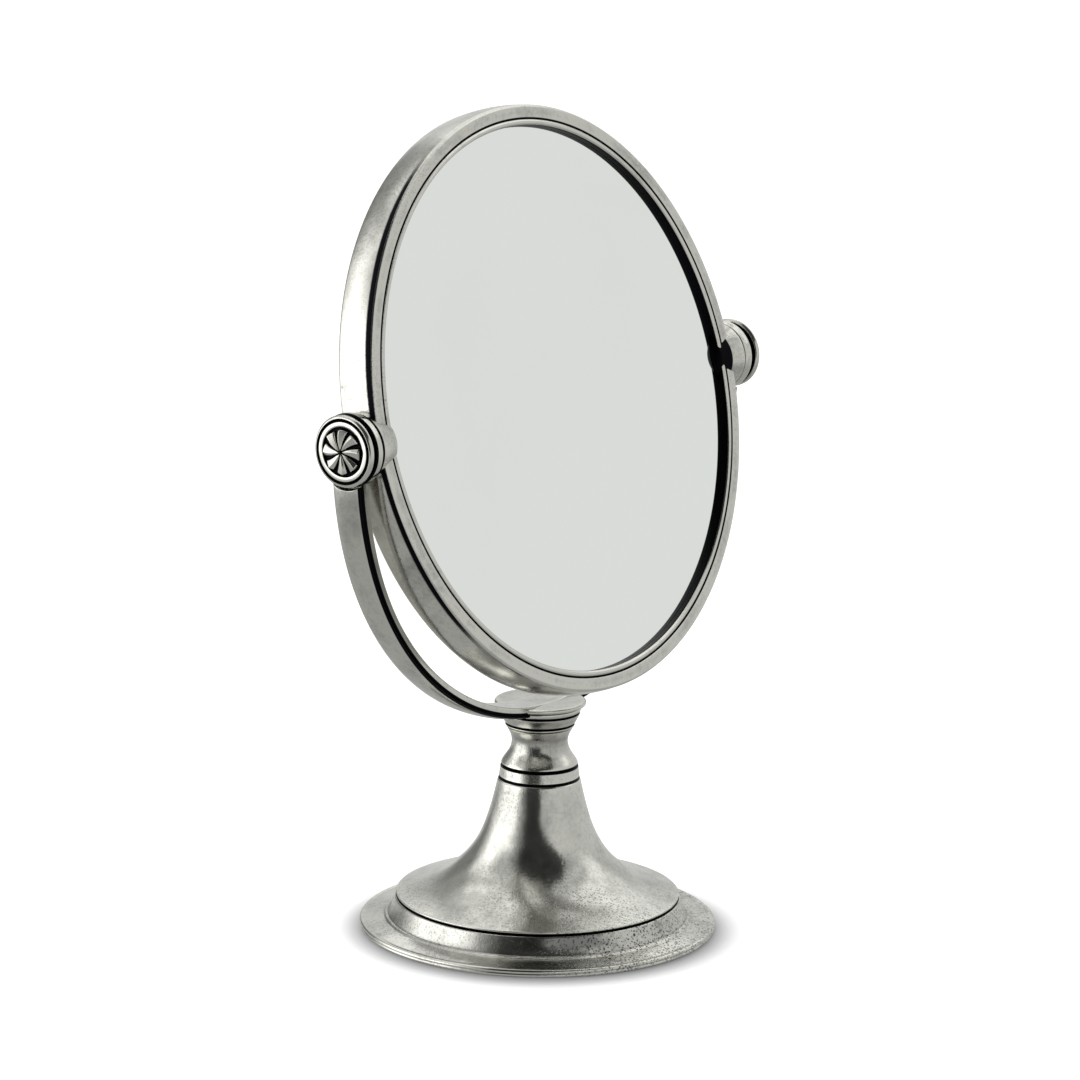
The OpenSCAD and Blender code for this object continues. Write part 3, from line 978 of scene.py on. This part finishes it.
@dataclass
class Pivot:
    """Stations along the pivot axis, outwards from the middle plane, and what sits on it."""

    height: float = 199.6
    tilt: float = 14.8
    boss_tip: float = 97.5
    boss_end: float = 110.9
    eye_in: float = 111.5
    eye_out: float = 115.0
    knob_start: float = 115.7
    knob_t: float = 2.5
    right_slack: float = 3.0
    boss_r: float = 12.6
    left_boss_tip_r: float = 10.4
    right_boss_tip_r: float = 9.7
    eye_r: float = 13.3
    knob_r: float = 13.0

    @property
    def knob_face(self) -> float:
        """Station of the knobs' faces."""
        return self.knob_start + self.knob_t

    @property
    def origin(self) -> Array:
        """Middle of the pivot axis."""
        return np.array([0, 0, self.height])

    def head(self) -> Axes:
        """Axes of the tilted mirror: x along the pivot, y up its face, z out of its face."""
        c, s = math.cos(math.radians(self.tilt)), math.sin(math.radians(self.tilt))
        return Axes(self.origin, np.array([1.0, 0, 0]), np.array([0, s, c]), np.array([0, -c, s]))

    def outward(self, side: Side, moved: float = 0.0) -> Axes:
        """Axes of one side's end: z outwards along the pivot, x up, from a place moved outwards.

        Args:
            side: The end of the pivot axis.
            moved: How far outwards the end has moved, in millimetres.

        Returns:
            The axes.
        """
        out = np.array([float(side.value), 0, 0])
        up = np.array([0, 0, 1.0])
        return Axes(self.origin + out * moved, up, np.cross(out, up), out)


@dataclass
class Yoke:
    """The half-round band with its two eyes."""

    pivot: Pivot
    inner_r: float = 113.0
    thickness: float = 5.0
    width: float = 12.0
    crown: float = 1.4
    groove: float = 0.9
    groove_at: float = 3.3
    inward: float = 1.3

    def band_outline(self) -> Array:
        """Flat inner face, a groove along each side, crowned outer face."""
        h = self.width / 2
        cut = self.inner_r + self.groove_at
        t = np.linspace(-1, 1, 41)
        edge_r = self.inner_r + self.thickness - self.crown
        outer = np.column_stack([edge_r + self.crown * np.sqrt(1 - t**2), h * t])
        return np.vstack([
            [[self.inner_r, 0], [self.inner_r, -h + 0.3], [self.inner_r + 0.3, -h], [cut - 0.9, -h]],
            [[cut - 0.3, -h + self.groove]],
            outer,
            [[cut - 0.3, h - self.groove], [cut - 0.9, h], [self.inner_r + 0.3, h], [self.inner_r, h - 0.3]],
        ])

    def fitted(self, radius: Array, angle: Array, across: Array) -> Array:
        """Fits the band to its eyes over its last stretches.

        Its outer face steps down behind the knob, close round the knob's edge, and its inner face
        leans in to meet the eye.

        Args:
            radius: Radii of the section's points.
            angle: Their angles on the arc, in radians.
            across: Their places across the band.

        Returns:
            The fitted radii.
        """
        drop = -self.inner_r * np.sin(angle)
        away, low = np.hypot(drop, across), self.pivot.eye_out - 0.2
        edge = self.pivot.knob_r + 0.1
        limit = low + (self.inner_r + self.thickness - low) * smoothstep(away, edge, edge + 0.35)
        depth = np.clip(1 - (radius - self.inner_r) / self.thickness, 0, 1)
        return np.minimum(radius, limit) - self.inward * depth * (1 - smoothstep(drop, 10, 70))

    def eye_outline(self, side: Side) -> Array:
        """A round drum, from axis to axis.

        Args:
            side: The left eye is crowned, and the right one is flush with its boss.

        Returns:
            Points as radius and station along the pivot.
        """
        p = self.pivot
        low, high, r = p.eye_in, p.eye_out, p.eye_r
        if side is Side.RIGHT:
            flush = bezier((p.boss_r + 0.1, low), (r - 0.3, low + 1.2), (r, low + 2.2), (r - 0.2, high))
            return np.vstack([[[0, low]], flush, [[0, high]]])
        t = np.linspace(-1, 1, 17)
        rim = np.column_stack([r - 0.45 * t**4, (low + high) / 2 + (high - low) / 2 * t])
        return np.vstack([[[0, low], [r - 0.9, low]], rim, [[r - 0.9, high], [0, high]]])

    def build(self, pewter: bpy.types.Material) -> None:
        """Builds band and eyes as one casting.

        Args:
            pewter: Its finish.
        """
        across = Axes(self.pivot.origin, np.array([1.0, 0, 0]), np.array([0, 0, 1.0]), np.array([0, -1.0, 0]))
        step = np.linspace(5.6, 6.9, 36)
        angles = np.radians(np.sort(np.r_[np.linspace(182, 358, 300), 180 + step, 360 - step]))
        cut, h = self.inner_r + self.groove_at, self.width / 2
        section = Outline(self.band_outline(), True, reach=0.9, dark=[(cut, -h, 1.35), (cut, h, 1.35)])
        band = carried(section, across, angles, self.fitted)
        p = self.pivot
        eyes = []
        # the left eye's marks are patina at its two joints; the right eye's mark is painted shade on its
        # outer face, in the gap to its knob
        for side, marks in (
            (Side.LEFT, [(p.eye_r - 0.9, p.eye_in, 1.15), (p.eye_r - 0.9, p.eye_out, 1.15)]),
            (Side.RIGHT, [(p.eye_r - 1.6, p.eye_out, 1.2)]),
        ):
            drum = Outline(self.eye_outline(side), False, dark=marks)
            eyes.append(turned(drum, p.outward(side), 160, 0.06, 31))
        show(make_piece("yoke_casting", [band, *eyes], pewter), Body.STAND, "yoke")


@dataclass
class MirrorHead:
    """The framed glass with its bosses and rear cover."""

    pivot: Pivot
    opening_r: float = 100.1
    outer_r: float = 108.5
    face: float = 9.0
    back: float = 6.5
    lip: float = 6.2
    inner_r: float = 105.4
    cover_r: float = 105.2
    cover_t: float = 1.8
    cover_back: float = -6.8
    dish: float = 1.6
    dish_r: float = 86.0
    screws: int = 6
    screw_at: float = 103.3
    screw_r: float = 2.3

    def frame_outline(self) -> Array:
        """Bead over the glass, groove, flat face, groove, crowned side wall."""
        inner, face = self.opening_r, self.face
        cut = inner + 2.5
        t = np.linspace(1, -1, 21)
        middle, half = (face - self.back) / 2 - 0.3, (face + self.back) / 2 - 1.1
        wall = np.column_stack([self.outer_r - 0.6 * t**2, middle + half * t])
        return np.vstack([
            [[inner, self.lip]],
            arc((inner + 1.2, face - 1), 1.2, 180, 40),
            [[cut - 0.4, face - 0.1], [cut, face - 0.7], [cut + 0.4, face - 0.1], [cut + 0.9, face]],
            arc((self.outer_r - 1.9, face - 1.3), 1.3, 90, 0, 8),
            wall,
            [[self.outer_r - 1.1, -self.back], [self.inner_r, -self.back], [self.inner_r, self.lip]],
        ])

    def boss_outline(self, side: Side) -> Array:
        """A barrel with a domed tip, from axis to axis.

        Args:
            side: The right boss has a skirt over its washer, and the left one a plain end.

        Returns:
            Points as radius and station along the pivot.
        """
        p = self.pivot
        tip_r = p.left_boss_tip_r if side is Side.LEFT else p.right_boss_tip_r
        a = np.radians(np.linspace(0, 90, 24))
        dome = np.column_stack([tip_r * np.sin(a), p.boss_tip + 3.2 * (1 - np.cos(a))])
        if side is Side.RIGHT:
            end = [[p.boss_r, p.boss_end + 0.4], [9.4, p.boss_end + 0.4], [9.3, p.boss_end], [0, p.boss_end]]
        else:
            end = [[p.boss_r, p.boss_end - 0.7], [p.boss_r - 0.6, p.boss_end], [0, p.boss_end]]
        return np.vstack([dome, end])

    def clear_of_glass(self, up: Array, ahead: Array, out: Array) -> tuple[Array, Array, Array]:
        """Keeps a boss ahead of the glass wherever it lies inside the frame's outer wall.

        Args:
            up: Places up the mirror's face.
            ahead: Places out of its face.
            out: Places along the pivot.

        Returns:
            The three, with those ahead moved where they must be.
        """
        inside = np.hypot(out, up) < self.outer_r - 1.5
        return up, np.where(inside, np.maximum(ahead, self.lip + 0.05), ahead), out

    def boss(self, side: Side, pewter: bpy.types.Material) -> None:
        """Builds one boss, turned about the pivot and cut off above the glass.

        Args:
            side: The end of the pivot axis.
            pewter: The boss's finish.
        """
        head = self.pivot.head()
        axes = Axes(head.origin, head.y, head.z, head.x * side.value)
        p = self.pivot
        marks = [(p.boss_r - 0.5, p.boss_end, 1.15)]
        if side is Side.RIGHT:
            # painted dark reflection over the right boss's tip, where it reaches over the glass
            marks = [(4.0, p.boss_tip, 5.5), (8.5, p.boss_tip + 1.6, 4.5), (10.6, p.boss_tip + 5.7, 2.4)]
        shell = turned(Outline(self.boss_outline(side), False, dark=marks), axes, 160, 0.08, 41 + side.value,
                       self.clear_of_glass)
        name = f"{side.word}_lug"
        show(make_piece(name, [shell], pewter), Body.MIRROR, f"{side.word}_boss")

    def cover_outline(self) -> Array:
        """A thin dish with one shallow step, from axis to axis."""
        low, high, step, dish = self.cover_back, self.cover_back + self.cover_t, self.dish_r, self.dish
        return np.array([
            [0, high - dish], [step - 4, high - dish], [step, high], [self.cover_r, high],
            [self.cover_r, low + 0.5], [self.cover_r - 0.5, low],
            [step, low], [step - 4, low - dish], [0, low - dish],
        ])

    def slotted(self, distance: Array, angle: Array) -> tuple[Array, Array]:
        """A screw head: a low dome with a straight slot across it.

        Args:
            distance: Distances from the middle.
            angle: Angles round it, in radians.

        Returns:
            Heights, and how hollow the slot is.
        """
        dome = 1.0 - 0.35 * (distance / self.screw_r) ** 2
        slot = 1 - smoothstep(np.abs(distance * np.sin(angle)), 0.22, 0.36)
        return dome - 0.5 * slot, slot * np.ones_like(dome)

    def paint_edge_shade(self, ring: Shell, section: Outline) -> None:
        """Paints a line of shade under the frame's front edge, most of it on the left: painted shade.

        Args:
            ring: The frame's shell, whose mask of patina and painted shade is changed.
            section: The outline that it was turned from.
        """
        away = np.hypot(section.u - self.outer_r + 0.55, section.v - self.face + 1.5)
        near = 1 - smoothstep(away, 0.75, 1.0)
        angle = np.linspace(0, 2 * math.pi, ring.hollow.shape[1], endpoint=False)
        left = smoothstep(-np.cos(angle + 0.12), 0.35, 0.9)
        ring.hollow = np.maximum(ring.hollow, near[:, None] * left[None, :])

    def build(self, pewter: bpy.types.Material, brass: bpy.types.Material) -> None:
        """Builds frame, bosses, rear cover and its screws.

        Args:
            pewter: The finish of all but the screws.
            brass: The screws' finish.
        """
        head = self.pivot.head()
        cut = (self.opening_r + 2.5, self.face - 0.6, 0.7)
        # the inner wall of the lip beside the glass is darkened all round
        lip = [(self.opening_r, n, 0.95) for n in (6.4, 7.1, 7.8)]
        section = Outline(self.frame_outline(), True, dark=[cut, *lip])
        ring = turned(section, head, 512, 0.10, 51)
        # painted shade along the frame's front edge, mostly on the left
        self.paint_edge_shade(ring, section)
        show(make_piece("bezel", [ring], pewter), Body.MIRROR, "mirror_frame")
        for side in Side:
            self.boss(side, pewter)
        cover = turned(Outline(self.cover_outline(), False, reach=3.0), head, 256, 0.15, 52)
        show(make_piece("back_plate", [cover], pewter), Body.MIRROR, "rear_cover")
        heads = []
        for i in range(self.screws):
            a = 2 * math.pi * (i + 0.5) / self.screws
            spot = head.origin + self.screw_at * (math.cos(a) * head.x + math.sin(a) * head.y)
            spot = spot + self.cover_back * head.z
            axes = Axes(spot, head.x * math.cos(3 * i) + head.y * math.sin(3 * i),
                        head.x * math.sin(3 * i) - head.y * math.cos(3 * i), -head.z)
            heads.append(relief(self.screw_r, -0.4, self.slotted, axes, 16, 48))
        show(make_piece("cover_screws", heads, brass), Body.MIRROR, "rear_cover_screws")


@dataclass
class ClampKnob:
    """A clamp knob with its rosette."""

    pivot: Pivot
    side: Side
    ring_r: float = 11.2
    recess_r: float = 8.8
    recess: float = 0.9
    petals: int = 8
    rosette_r: float = 8.7
    rise: float = 1.8
    swirl: float = 0.16
    ridge: float = 1.7
    start: float = 0.3

    def knob_outline(self) -> Array:
        """Sloping edge, ring groove and the rosette's recess, from axis to axis."""
        p, r, face = self.pivot, self.pivot.knob_r, self.pivot.knob_face
        edge = bezier((r, p.knob_start + 1.0), (r, p.knob_start + 1.7), (12.6, face - 0.2), (11.8, face))
        return np.vstack([
            [[0, p.knob_start], [r - 1.6, p.knob_start], [r - 0.6, p.knob_start + 0.4]],
            edge,
            [[self.ring_r + 0.5, face], [self.ring_r, face - 0.9], [self.ring_r - 0.5, face]],
            [[self.recess_r + 0.7, face + 0.15], [self.recess_r + 0.1, face]],
            [[self.recess_r, face - self.recess], [0, face - self.recess]],
        ])

    def flower(self, distance: Array, angle: Array) -> tuple[Array, Array]:
        """Petals on a low dome.

        The angle is swirled by the distance and divided into equal petals. Across a petal the
        height rises in a straight slope to a ridge and falls again to the cut between petals; along
        it the height follows the dome and rounds off at the tip.

        Args:
            distance: Distances from the middle.
            angle: Angles round it, in radians.

        Returns:
            Heights, and how hollow the cuts are.
        """
        reach = distance / self.rosette_r
        turn = (self.petals * (angle + self.start + self.swirl * reach**2) / (2 * math.pi)) % 1
        slope = np.minimum(turn / 0.66, (1 - turn) / 0.34)
        tip = 1 - smoothstep(reach, 0.84 + 0.05 * slope, 0.93 + 0.03 * slope)
        body = smoothstep(slope, 0.14, 0.36) * smoothstep(slope * reach, 0.01, 0.10) * tip
        dome = self.rise * (1 - reach**2)
        floor = self.pivot.knob_face - 0.8
        height = floor + body * (0.35 + self.ridge * slope * reach) + dome * (0.25 + 0.65 * body)
        return height, 1 - smoothstep(body, 0.35, 0.95)

    def build(self, pewter: bpy.types.Material, dark: bpy.types.Material) -> None:
        """Builds the knob and its rosette.

        Args:
            pewter: The knob's finish.
            dark: The rosette's finish.
        """
        p, body = self.pivot, Body.knob(self.side)
        axes = p.outward(self.side, p.right_slack if self.side is Side.RIGHT else 0.0)
        cuts = [(self.ring_r, p.knob_face - 0.5, 0.9), (self.recess_r, p.knob_face - 0.5, 0.65)]
        # painted shade on the knob's back face, in the gap to its eye; larger on the right, whose knob stands
        # off its eye
        under = [(p.knob_r - 1.3, p.knob_start, 1.0)]
        if self.side is Side.RIGHT:
            under = [(p.knob_r - 2.2, p.knob_start, 1.35), (p.knob_r - 4.2, p.knob_start, 1.6)]
        disc = turned(Outline(self.knob_outline(), False, dark=cuts + under), axes, 192, 0.08, 61)
        word = self.side.word
        show(make_piece(f"{word}_clamp_knob", [disc], pewter), body, f"{word}_knob")
        face = relief(self.rosette_r, p.knob_face - self.recess, self.flower, axes, 72, 288)
        show(make_piece(f"{word}_flower", [face], dark), body, f"{word}_rosette")


@dataclass
class HiddenParts:
    """CAD nodes that keep their own shape and only take a finish."""

    finishes: dict[str, tuple[str, ...]]

    def dress(self, materials: dict[str, bpy.types.Material]) -> None:
        """Gives each node its material.

        Args:
            materials: The finishes by name.
        """
        for key, nodes in self.finishes.items():
            for name in nodes:
                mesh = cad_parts[name].data
                mesh.materials.clear()
                mesh.materials.append(materials[key])
                log.info("%s dressed as %s", name, key)


# Studio


@dataclass
class Studio:
    """White sweep, pale surroundings with darker flags, one soft light and the camera."""

    heading: float = 53.58
    pitch: float = 13.132
    roll: float = -0.84
    distance: float = 1.8909
    rise: float = 0.5882
    sideways: float = -0.001
    lens: float = 176.0
    floor_half: float = 4.0
    grey: float = 0.745
    high_glow: float = 0.09
    box_glow: float = 1.4
    ceiling_glow: float = 0.55
    flag_depth: float = 0.94
    behind_depth: float = 0.65
    beam_depth: float = 0.42
    below_depth: float = 0.38
    backdrop: float = 1.05
    key_size: float = 1.2
    key_power: float = 5.0

    def directions(self) -> tuple[Vector, Vector, Vector]:
        """Level directions to the camera's right, away from it, and up."""
        a = math.radians(self.heading)
        c, s = math.cos(a), math.sin(a)
        return Vector((c, -s, 0)), Vector((s, c, 0)), Vector((0, 0, 1))

    def camera(self) -> None:
        """Places the camera: it looks down by the pitch and is turned about its view by the roll."""
        right, away, up = self.directions()
        p, r = math.radians(self.pitch), math.radians(self.roll)
        look = away * math.cos(p) - up * math.sin(p)
        top = away * math.sin(p) + up * math.cos(p)
        across = right * math.cos(r) - top * math.sin(r)
        crown = right * math.sin(r) + top * math.cos(r)
        data = bpy.data.cameras.new("camera")
        data.lens, data.sensor_width = self.lens, 36.0
        data.clip_start, data.clip_end = 0.05, 50.0
        eye = bpy.data.objects.new("camera", data)
        place = right * self.sideways - away * self.distance + up * self.rise
        eye.matrix_world = Matrix.Translation(place) @ Matrix((across, crown, -look)).transposed().to_4x4()
        bpy.context.scene.collection.objects.link(eye)
        bpy.context.scene.camera = eye

    def floor(self) -> None:
        """Lays the sweep, which the metal does not mirror: what it mirrors from below is the grey studio."""
        mesh = bpy.data.meshes.new("sweep")
        h = self.floor_half
        mesh.from_pydata([(-h, -h, 0), (h, -h, 0), (h, h, 0), (-h, h, 0)], [], [(0, 1, 2, 3)])
        mesh.materials.append(StudioFloor().material())
        floor = bpy.data.objects.new("sweep", mesh)
        floor.visible_glossy = False
        bpy.context.scene.collection.objects.link(floor)

    def surroundings(self) -> None:
        """A grey studio with a soft box at the left and dark flags; the open background is white.

        A ray's height is the sine of its elevation, and left is its bearing in radians, 0 toward
        the camera and growing to the left. Each part of the studio is a smooth patch of the two.
        """
        world = bpy.data.worlds.new("studio")
        world.use_nodes = True
        bpy.context.scene.world = world
        g = Graph(world.node_tree)
        way = g.add("ShaderNodeTexCoord", out="Generated")
        right, away, up = self.directions()

        height = g.dot(way, up)
        left = g.dot(way, -right).bearing(g.dot(way, -away))
        box = left.ramp(0.75, 1.12) * left.ramp(2.15, 1.75)
        box = box * height.ramp(-0.45, -0.15) * height.ramp(0.66, 0.36)
        wider = height.ramp(0.3, 0.72)
        flag = (left + wider * 0.95).ramp(-0.12, -0.02) * (left - wider * 0.12).ramp(0.95, 0.45)
        flag = flag * height.ramp(-0.30, -0.05)
        behind = left.ramp(2.1, 2.35) * left.ramp(2.95, 2.7) * height.ramp(-0.2, 0.0) * height.ramp(0.75, 0.6)
        below = height.ramp(-0.12, -0.6)
        ceiling = g.dot(way, away).ramp(-0.05, 0.25) * height.ramp(0.3, 0.55)
        beams = g.noise(way, 6.0, 3.0, 0.55).ramp(0.50, 0.54) * height.ramp(0.45, 0.7)
        level = self.grey + wider * self.high_glow + box * self.box_glow + ceiling * self.ceiling_glow
        level = level * (1 - flag * self.flag_depth) * (1 - behind * self.behind_depth)
        level = level * (1 - beams * self.beam_depth) * (1 - below * self.below_depth)
        seen = g.add("ShaderNodeLightPath", out="Is Camera Ray")
        tint = g.blend(seen, (0.985, 1.0, 0.98), (1.0, 1.0, 1.0))
        strength = seen * self.backdrop + (1 - seen) * level
        g.finish(g.add("ShaderNodeBackground", {}, {"Color": tint, "Strength": strength}))

    def key_light(self) -> None:
        """One large soft light overhead, for the floor; the metal mirrors the soft box instead."""
        right, away, up = self.directions()
        data = bpy.data.lights.new("overhead", "AREA")
        data.shape, data.size, data.size_y = "RECTANGLE", self.key_size, self.key_size
        data.energy = self.key_power
        light = bpy.data.objects.new("overhead", data)
        light.visible_glossy = False
        spot = away * 0.5 - right * 0.4 + up * 1.6
        aim = Vector((0, 0, 0)) - spot
        light.matrix_world = Matrix.Translation(spot) @ aim.to_track_quat("-Z", "Y").to_matrix().to_4x4()
        bpy.context.scene.collection.objects.link(light)

    def build(self) -> None:
        """Sets the whole studio up."""
        self.camera()
        self.floor()
        self.surroundings()
        self.key_light()
        bpy.context.scene.view_settings.view_transform = "Standard"


def main() -> None:
    """Builds the studio and every piece."""
    logging.basicConfig(level=logging.INFO, format="%(name)s: %(message)s")
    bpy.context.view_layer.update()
    Studio().build()

    pewter = Pewter("pewter").material()
    materials = {
        "glass": Silvering().material(),
        "felt": Felt().material(),
        "steel": PlainMetal("steel", (0.56, 0.56, 0.57), (0.36, 0.36, 0.37)).material(),
        "brass": PlainMetal("brass", (0.78, 0.58, 0.27), (0.48, 0.33, 0.14), 0.3).material(),
        "iron": PlainMetal("iron", (0.12, 0.12, 0.125), (0.05, 0.05, 0.052), 0.6, 420.0).material(),
        "board": Fibre("hardboard", (0.36, 0.24, 0.14), (0.17, 0.105, 0.06)).material(),
        "leather": Fibre("washer_leather", (0.19, 0.11, 0.06), (0.07, 0.04, 0.022), 0.55).material(),
    }
    dark = Pewter("dark_pewter", roughness=0.22, pitting=0.15, turning=0.2, mottling=0.4).material()

    pivot = Pivot()
    Foot().build(pewter)
    Neck().build(pewter)
    Yoke(pivot).build(pewter)
    MirrorHead(pivot).build(pewter, materials["brass"])
    for side in Side:
        ClampKnob(pivot, side).build(pewter, dark)
    HiddenParts({
        "glass": ("mirror_glass",),
        "felt": ("base_felt", "backing_felt"),
        "steel": ("base_plate", "tie_rod", "tie_washer", "tie_nut", "left_pivot_screw", "right_pivot_screw",
                  "left_spring_washer", "right_spring_washer"),
        "brass": ("left_eye_bush", "right_eye_bush"),
        "iron": ("ballast_weight",),
        "board": ("backing_board",),
        "leather": ("left_friction_washer", "right_friction_washer"),
    }).dress(materials)


if __name__ == "__main__":
    main()
